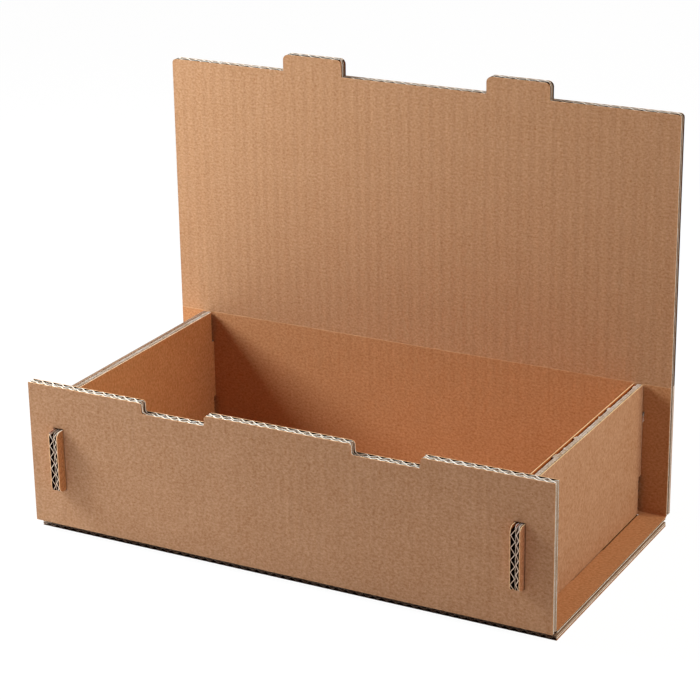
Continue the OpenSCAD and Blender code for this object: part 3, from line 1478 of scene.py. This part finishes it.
@dataclass(frozen=True)
class GiftBox:
    """The whole box: which panels it has, and where they are cut, slotted and folded.

    Args:
        board: The board that it is made of.
        inner_depth: Its depth inside.
        fold_height: The height of the lid's fold.
        slit: The width of the slit behind the lid's fold.
        tab_middle: The distance from the middle of the box to that of a lid tab.
        tab_half: Half a lid tab's width.
        tab_reach: How far a lid tab stands out of the lid.
        tab_radius: The radius of every tab's corners.
        lid_radius: The radius of the lid's own corners.
        notch_play: The play beside a lid tab at the floor of its notch.
        notch_flare: How much wider a notch is at its mouth, on each side.
        mouth_radius: The radius at its mouth.
        floor_radius: The radius at its floor.
        seat_play: The play between the lid's edge and the front's notches.
        end_slot: The heights of the lower and the upper end of the slots for the end panels.
        end_tab: The heights of the lower and the upper side of the tabs in them.
        base_slot: Half the length of the slots in the base.
        base_tab: Half the length of the tabs in them.
        slot_play: The play beside a tab in its slot.
        rear_tight: How much of it the slots in the back lack beside the panels' outer papers.
        end_play: The play between an end panel and the front.
        rear_play: The play between an end panel and the back.
        foot_play: The play between an end panel's foot and the base.
        foot_slit: How far the slit behind the right slot in the base reaches under and beside
            the panel, and how far from the back's fold it begins.
        slot_tear: How wide and how high the right slot in the back has torn at its corner.
        tear_rise: How much of that height stands above the slot.
        bit_length: The length of the torn bit of paper there.
        bit_rise: How far above the slot it begins.
    """

    board: Board = Board()
    inner_depth: float = 176 * MM
    fold_height: float = 94.6 * MM
    slit: float = 0.3 * MM
    tab_middle: float = 73 * MM
    tab_half: float = 21.5 * MM
    tab_reach: float = 11.1 * MM
    tab_radius: float = 3.5 * MM
    lid_radius: float = 2.5 * MM
    notch_play: float = 1 * MM
    notch_flare: float = 0.3 * MM
    mouth_radius: float = 2 * MM
    floor_radius: float = 1.2 * MM
    seat_play: float = 0.3 * MM
    end_slot: Span = (31.3 * MM, 73.4 * MM)
    end_tab: Span = (32.1 * MM, 72.6 * MM)
    base_slot: float = 23.8 * MM
    base_tab: float = 23 * MM
    slot_play: float = 0.5 * MM
    rear_tight: float = 0.4 * MM
    end_play: float = 0.8 * MM
    rear_play: float = 0.8 * MM
    foot_play: float = 0.3 * MM
    foot_slit: tuple[float, float, float] = (0.3 * MM, 0.85 * MM, 3.4 * MM)
    slot_tear: Span = (1.0 * MM, 3.0 * MM)
    tear_rise: float = 0.8
    bit_length: float = 6 * MM
    bit_rise: float = 1.2 * MM

    @property
    def half_depth(self) -> float:
        """Half the depth inside."""
        return self.inner_depth / 2

    @property
    def inner_height(self) -> float:
        """The height of the lid's fold above the base."""
        return self.fold_height - self.board.thickness

    def notches(self, edge: float) -> tuple[Notch, ...]:
        """The front's two notches, where its upper edge is at a given place."""
        depth = self.board.thickness + self.seat_play
        return tuple(Notch(side * self.tab_middle, edge, edge - depth,
                           self.tab_half + self.notch_play, self.notch_flare,
                           self.mouth_radius, self.floor_radius) for side in (-1, 1))

    def lid_tabs(self, edge: float) -> tuple[Tab, ...]:
        """The lid's two tabs, where its free edge is at a given place."""
        return tuple(Tab(1, edge, edge - self.tab_reach,
                         (side * self.tab_middle - self.tab_half,
                          side * self.tab_middle + self.tab_half), self.tab_radius)
                     for side in (-1, 1))

    def end_slots(self, low: float, high: float, tight: float = 0.0) -> tuple[Hole, ...]:
        """Lays out a slot for each end panel between two places along the flutes.

        Args:
            low: Where the slots begin.
            high: Where they end.
            tight: How much less play they leave at the panels' outer papers.

        Returns:
            The lowest and the highest corner of each slot.
        """
        return tuple(((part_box(node)[0].x - self.slot_play, low),
                      (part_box(node)[1].x + self.slot_play - tight, high)) for node in END_PANELS)

    def back_slots(self) -> tuple[Hole, ...]:
        """Lays out the slots in the back, and the torn corner of the right one.

        Returns:
            The lowest and the highest corner of each, measured down from the lid's fold.
        """
        slot_low, slot_high = (self.fold_height - height for height in self.end_slot)
        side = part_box(RIGHT_END)[1].x
        wide, high = self.slot_tear
        top = slot_high - self.tear_rise * high
        return (*self.end_slots(slot_high, slot_low, self.rear_tight),
                ((side - MM, top), (side + wide, top + high)))

    def base_slots(self, middle: float) -> tuple[Hole, ...]:
        """Lays out the holes in the inner liner's base: its slots, and the slit behind one.

        Args:
            middle: The place of the base's middle along the flat liner.

        Returns:
            The lowest and the highest corner of each.
        """
        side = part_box(RIGHT_END)[1].x
        under, beside, start = self.foot_slit
        return (*self.end_slots(middle - self.base_slot, middle + self.base_slot),
                ((side - under, self.inner_height + start),
                 (side + beside, middle - self.base_slot)))

    def sheet_panel(self, name: str, span: Span, origin: Vector, through: Vector = BACK,
                    kind: type[Panel] = Panel, **settings: object) -> Panel:
        """Lays out a panel of the long sheet, which has the sheet's full width.

        Args:
            name: Its name.
            span: Where it begins and ends along the flutes.
            origin: Where its own origin stands.
            through: The direction from its coarse to its fine side.
            kind: The class of the panel.
            settings: Its other fields.

        Returns:
            The panel.
        """
        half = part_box("tray_sheet")[1].x
        usual = {"body": "tray", "slot": "tray_board"}
        return kind(name, self.board, (-half, span[0]), (half, span[1]), origin, RIGHT, through,
                    **usual | settings)

    def sheet(self) -> tuple[Panel, ...]:
        """Lays out the long sheet.

        Returns:
            Its four panels, and the inner liner that runs through them all.
        """
        thick, height, half_depth = self.board.thickness, self.inner_height, self.half_depth
        hinge = Vector((0, half_depth, self.fold_height))
        slot_low, slot_high = self.end_slot
        lid_edge = self.fold_height + self.tab_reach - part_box("lid")[1].z
        front_edge = 2 * height + self.inner_depth + thick
        to_front = height + self.inner_depth - thick
        gap = self.slit / 2
        return (
            self.sheet_panel("front", (0, self.fold_height), Vector((0, -half_depth, thick)),
                             -BACK, seed=1, shapes=self.notches(self.fold_height),
                             slots=self.end_slots(slot_low - thick, slot_high - thick),
                             half_cuts=(0,)),
            self.sheet_panel("base", (-half_depth, half_depth), Vector((0, 0, thick)), -UP,
                             seed=2, slots=self.end_slots(-self.base_slot, self.base_slot),
                             half_cuts=(-half_depth, half_depth)),
            self.sheet_panel("back", (gap, height), hinge, seed=3, slots=self.back_slots(),
                             half_cuts=(gap, height)),
            self.sheet_panel("lid", (lid_edge, -gap), hinge, seed=4, body="lid",
                             slot="lid_board", shapes=self.lid_tabs(lid_edge), half_cuts=(-gap,),
                             corner_radius=self.lid_radius, looks=LID_LOOKS),
            self.sheet_panel("sheet", (lid_edge, front_edge), hinge, kind=FoldedLiner, seed=5,
                             shapes=(*self.lid_tabs(lid_edge), *self.notches(front_edge)),
                             slots=(*self.end_slots(to_front + slot_low, to_front + slot_high),
                                    *self.base_slots(height + half_depth), *self.back_slots()),
                             folds=(height + self.inner_depth, height),
                             corner_radius=self.lid_radius))

    def end_panel(self, node: str) -> Panel:
        """Lays out one end panel. While it lies flat, its Y grows towards the front.

        Args:
            node: The name of its solid.

        Returns:
            The panel, whose flutes run from front to back.
        """
        low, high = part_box(node)
        look = END_PANELS[node]
        rear = self.rear_play - self.half_depth
        front = self.half_depth - self.end_play
        floor = self.board.thickness + self.foot_play
        tabs = (Tab(1, rear, -high.y, self.end_tab, self.tab_radius),
                Tab(1, front, -low.y, self.end_tab, self.tab_radius),
                Tab(0, floor, low.z, (-self.base_tab, self.base_tab)))
        below, above = look.heels
        heels = [((floor - MM, rear - MM), (self.end_tab[0], rear + below))]
        if above:
            heels.append(((self.end_tab[1], rear - MM), (high.z + MM, rear + above)))
        return Panel(
            stem(node), self.board, (floor, rear), (high.z, front), Vector((low.x, 0, 0)), UP,
            RIGHT, "tray", "end_board", crest=high.z + look.shift, fine_lag=look.fine_lag,
            seed=6 + look.seed, papers=tuple(Paper), shapes=tabs, peeled=tuple(heels),
            open_reach=END_REACH, turned=True, looks=look.looks)

    def strips(self) -> Iterator[TornStrip]:
        """Lays out the torn strips along the end panels' upper edges, and the bit at a slot.

        Returns:
            Each strip in turn.
        """
        for node, look in END_PANELS.items():
            low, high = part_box(node)
            for name, strip in look.strips.items():
                yield replace(
                    strip, name=f"{stem(node)}_{name}",
                    low=Vector((low.x + strip.low.x, self.end_play - self.half_depth,
                                high.z + strip.low.z)),
                    high=Vector((low.x + strip.high.x, self.half_depth - self.rear_play, high.z)))
        place = Vector((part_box(RIGHT_END)[1].x, self.half_depth, self.end_slot[1] + self.bit_rise))
        yield TornStrip("back_torn_strip", Vector((-0.5 * MM, 0, 0)),
                        Vector((-0.1 * MM, self.bit_length, 0)),
                        placing(place, -RIGHT, -UP, -BACK), steps=14, spikes=6,
                        spike=1.0 * MM, finish="medium_cut", rough=0.15 * MM, seed=5)

    def build(self, finishes: Finishes) -> None:
        """Builds the long sheet, both end panels and the torn strips.

        Args:
            finishes: The box's materials.
        """
        for panel in (*self.sheet(), *map(self.end_panel, END_PANELS)):
            panel.build(finishes)
        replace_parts(bpy.data.objects["sheet_inner_liner"], "tray_sheet", "lid")
        for node in END_PANELS:
            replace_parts(bpy.data.objects[f"{stem(node)}_inner_liner"], node)
        for strip in self.strips():
            strip.build(finishes)


# Light and view


@dataclass(frozen=True)
class Softbox:
    """One area lamp.

    Args:
        name: Its name.
        place: Where it stands, in metres.
        aim: What it points at.
        size: Its width and height.
        power: Its power in watts.
        colour: Its linear colour.
    """

    name: str
    place: tuple[float, float, float]
    aim: tuple[float, float, float]
    size: tuple[float, float]
    power: float
    colour: tuple[float, float, float] = (1.0, 1.0, 1.0)

    def build(self) -> None:
        """Adds the lamp to the scene."""
        lamp = bpy.data.lights.new(self.name, "AREA")
        lamp.shape = "RECTANGLE"
        lamp.size, lamp.size_y = self.size
        lamp.energy = self.power
        lamp.color = self.colour
        holder = bpy.data.objects.new(self.name, lamp)
        bpy.context.scene.collection.objects.link(holder)
        holder.location = self.place
        view = Vector(self.aim) - Vector(self.place)
        holder.rotation_euler = view.to_track_quat("-Z", "Y").to_euler()


@dataclass(frozen=True)
class Studio:
    """The white surroundings and the lamps.

    Args:
        ambient: The linear colour of the even light on the object.
        shadow_share: How much of the shadow the floor keeps.
        white: The level of the floor, a little over 1 so that it meets the background.
        floor_reach: How far the floor runs each way.
        floor_drop: How far below the box it lies.
        lamps: The lamps.
    """

    ambient: tuple[float, float, float] = (0.13, 0.1, 0.1)
    shadow_share: float = 0.06
    white: float = 1.04
    floor_reach: float = 6.0
    floor_drop: float = 0.02 * MM
    lamps: tuple[Softbox, ...] = (
        Softbox("key", (-0.8, -0.15, 0.6), (0, 0, 0.12), (0.4, 0.4), 18.6, (0.84, 0.96, 1.0)),
        Softbox("low_key", (-0.9, -0.5, 0.45), (0, 0, 0.12), (0.4, 0.4), 0.8),
        Softbox("fill", (1.3, 0.3, 0.9), (0, 0, 0.12), (0.8, 0.8), 11.3, (1.0, 0.96, 0.77)),
        Softbox("side_fill", (1.5, -0.2, 1.0), (0, 0, 0.12), (0.8, 0.8), 3.7, (1.0, 0.75, 0.75)),
    )

    def build(self) -> None:
        """Sets up the floor, the world and the lamps."""
        self.world()
        self.floor()
        for lamp in self.lamps:
            lamp.build()
        bpy.context.scene.view_settings.view_transform = "Standard"

    @staticmethod
    def seen_directly(tree: Tree) -> NodeSocket:
        """Makes a mask for rays that show the surroundings as a background.

        Args:
            tree: The tree that it is made in.

        Returns:
            1 for such rays and 0 for those that light the object.
        """
        path = tree.node("ShaderNodeLightPath")
        clear = tree.math("MAXIMUM", path.outputs["Is Glossy Ray"],
                          path.outputs["Is Transmission Ray"])
        return tree.math("MAXIMUM", path.outputs["Is Camera Ray"], clear)

    def world(self) -> None:
        """Makes the world: white behind the object, and a soft even light on it."""
        world = bpy.data.worlds.new("white_room")
        bpy.context.scene.world = world
        world.use_nodes = True
        tree = Tree(world.node_tree)
        colour = tree.node("ShaderNodeMix", {
            "Factor": self.seen_directly(tree), "A": (*self.ambient, 1), "B": (1, 1, 1, 1)},
            data_type="RGBA")
        light = tree.node("ShaderNodeBackground", {"Color": colour.outputs["Result"],
                                                   "Strength": 1.0})
        tree.node("ShaderNodeOutputWorld", {"Surface": light.outputs[0]})

    def floor(self) -> None:
        """Adds the floor, which looks white and keeps a faint share of the shadow."""
        reach = self.floor_reach
        floor = flat_grid("floor", (-reach, -reach), (reach, reach), 4, 4, -self.floor_drop)
        material = bpy.data.materials.new("white_floor")
        material.use_nodes = True
        tree = Tree(material.node_tree)
        lit = tree.node("ShaderNodeBsdfDiffuse", {"Color": (0.8, 0.8, 0.8, 1)})
        white = tree.node("ShaderNodeEmission", {"Color": (1, 1, 1, 1), "Strength": self.white})
        share = tree.math("MULTIPLY", self.seen_directly(tree), 1 - self.shadow_share)
        mixed = tree.node("ShaderNodeMixShader", {0: share, 1: lit.outputs[0],
                                                  2: white.outputs[0]})
        tree.node("ShaderNodeOutputMaterial", {"Surface": mixed.outputs[0]})
        floor.data.materials.append(material)


@dataclass(frozen=True)
class Camera:
    """The photograph's view: where the camera stands and how it is turned.

    Args:
        place: Its place in metres.
        azimuth: The turn of its view to the left of straight ahead, in degrees.
        pitch: How far it looks down, in degrees.
        roll: Its roll, in degrees.
        focal: Its focal length in pixels.
        frame_px: The width of the picture in pixels.
        sensor: The width of the sensor in millimetres.
    """

    place: tuple[float, float, float] = (0.63399, -1.17121, 0.61190)
    azimuth: float = 28.437
    pitch: float = 20.258
    roll: float = -0.846
    focal: float = 2270.0
    frame_px: float = 700.0
    sensor: float = 36.0

    def build(self) -> None:
        """Adds the camera and makes it the scene's own."""
        az, tilt, roll = (math.radians(a) for a in (self.azimuth, self.pitch, self.roll))
        view = Vector((-math.sin(az) * math.cos(tilt), math.cos(az) * math.cos(tilt),
                       -math.sin(tilt)))
        level = Vector((math.cos(az), math.sin(az), 0))
        up = level.cross(view)
        right = level * math.cos(roll) + up * math.sin(roll)
        above = up * math.cos(roll) - level * math.sin(roll)
        data = bpy.data.cameras.new("camera")
        data.sensor_width = self.sensor
        data.lens = self.focal / self.frame_px * self.sensor
        data.clip_start = 0.05
        camera = bpy.data.objects.new("camera", data)
        bpy.context.scene.collection.objects.link(camera)
        camera.matrix_world = placing(Vector(self.place), right, above, -view)
        bpy.context.scene.camera = camera


def main() -> None:
    """Builds the box, its surroundings and the view."""
    logging.basicConfig(level=logging.INFO, format="%(name)s: %(message)s")
    GiftBox().build(Finishes())
    Studio().build()
    Camera().build()


if __name__ == "__main__":
    main()
